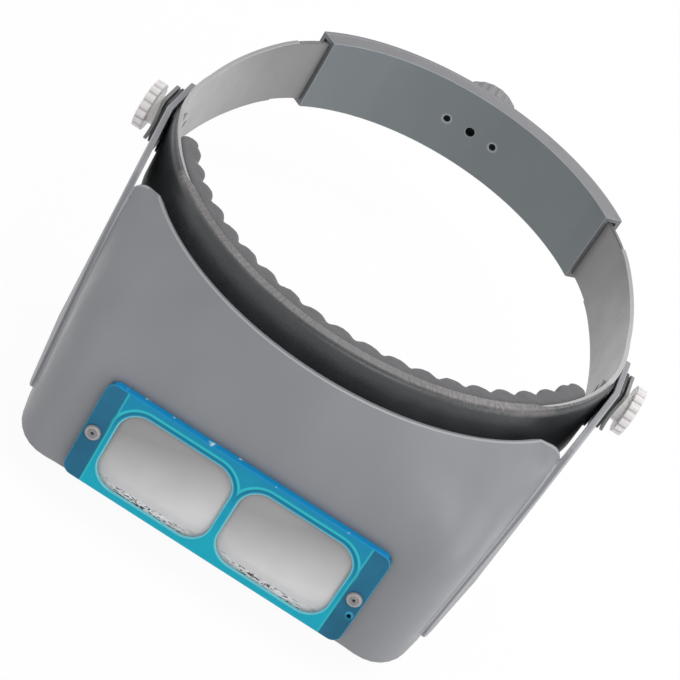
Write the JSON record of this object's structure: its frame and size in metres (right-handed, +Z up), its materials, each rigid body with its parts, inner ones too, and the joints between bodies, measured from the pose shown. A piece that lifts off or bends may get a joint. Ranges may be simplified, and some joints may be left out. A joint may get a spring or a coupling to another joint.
{
  "type": "headband magnifier",
  "caption": "Binocular magnifier on a padded headband, its moulded visor hinged at the temples and carrying a clear tinted lens plate, with a rear knob that winds the rack straps in and out.",
  "frame": {"origin": "midway between the two temple pivots, on the axis that the visor turns on, in the middle of the head opening", "axes": "+X to the wearer's left, +Y to the back of the head, +Z up"},
  "size_m": [0.2012, 0.2512, 0.0814],
  "materials": {
    "strip": "satin light grey",
    "leather": "glossy black-grey with fine wrinkles",
    "foam": "soft grey foam",
    "black": "matte black",
    "insert": "matte grey",
    "hood": "fine satin mid grey",
    "tinted": "translucent blue-green, polished",
    "glass": "clear, polished",
    "steel": "satin",
    "washer": "matte mid grey",
    "plate": "satin dark grey",
    "clear": "clear to milky, polished",
    "housing": "satin blue-grey",
    "gear": "natural white",
    "knob": "satin blue-grey"
  },
  "bodies": {
    "headband": {"front_band": "strip", "leather_cover": "leather", "sweat_pad": "foam", "temple_bracket_left": "black", "temple_bracket_right": "black", "pivot_insert_left": "insert", "pivot_insert_right": "insert"},
    "visor": {"visor_hood": "hood", "lens_frame": "tinted", "lens_left": "glass", "lens_right": "glass", "stud_left": "steel", "stud_right": "steel", "stud_clips": "steel", "friction_plate_left": "washer", "friction_plate_right": "washer", "pressure_plate_left": "plate", "pressure_plate_right": "plate"},
    "knob_left": {"pivot_knob_left": "clear"},
    "knob_right": {"pivot_knob_right": "clear"},
    "housing": {"housing_shell": "housing", "housing_cover": "housing", "housing_screws": "steel", "detent_spring": "steel"},
    "strap_left": {"strap_left": "strip"},
    "strap_right": {"strap_right": "strip"},
    "adjuster": {"pinion": "gear", "adjuster_knob": "knob", "axle_screw": "steel"}
  },
  "joints": [
    {"name": "visor_hinge", "type": "hinge", "parent": "headband", "child": "visor", "pos_m": [0, 0, 0], "axis": [-1, 0, 0], "range_deg": [-10, 75]},
    {"name": "knob_left_turn", "type": "hinge", "parent": "headband", "child": "knob_left", "pos_m": [0.0985, 0, 0], "axis": [1, 0, 0], "range_deg": [-360, 360]},
    {"name": "knob_right_turn", "type": "hinge", "parent": "headband", "child": "knob_right", "pos_m": [-0.0985, 0, 0], "axis": [-1, 0, 0], "range_deg": [-360, 360]},
    {"name": "size_slide", "type": "slide", "parent": "headband", "child": "housing", "axis": [0, -1, 0], "range_m": [-0.014, 0.014]},
    {"name": "strap_left_draw", "type": "hinge", "parent": "housing", "child": "strap_left", "pos_m": [0, 0.0406, 0], "axis": [0, 0, 1], "range_deg": [-9.7, 9.7]},
    {"name": "strap_right_draw", "type": "hinge", "parent": "housing", "child": "strap_right", "pos_m": [0, 0.0406, 0], "axis": [0, 0, 1], "range_deg": [-9.7, 9.7]},
    {"name": "adjuster_turn", "type": "hinge", "parent": "housing", "child": "adjuster", "pos_m": [0, 0.13, 0], "axis": [0, -1, 0], "range_deg": [-156, 156]}
  ],
  "couplings": [
    {"joint": "strap_left_draw", "follows": "size_slide", "rad_per_m": 11.996},
    {"joint": "strap_right_draw", "follows": "size_slide", "rad_per_m": -11.996},
    {"joint": "adjuster_turn", "follows": "size_slide", "rad_per_m": 193.62}
  ]
}
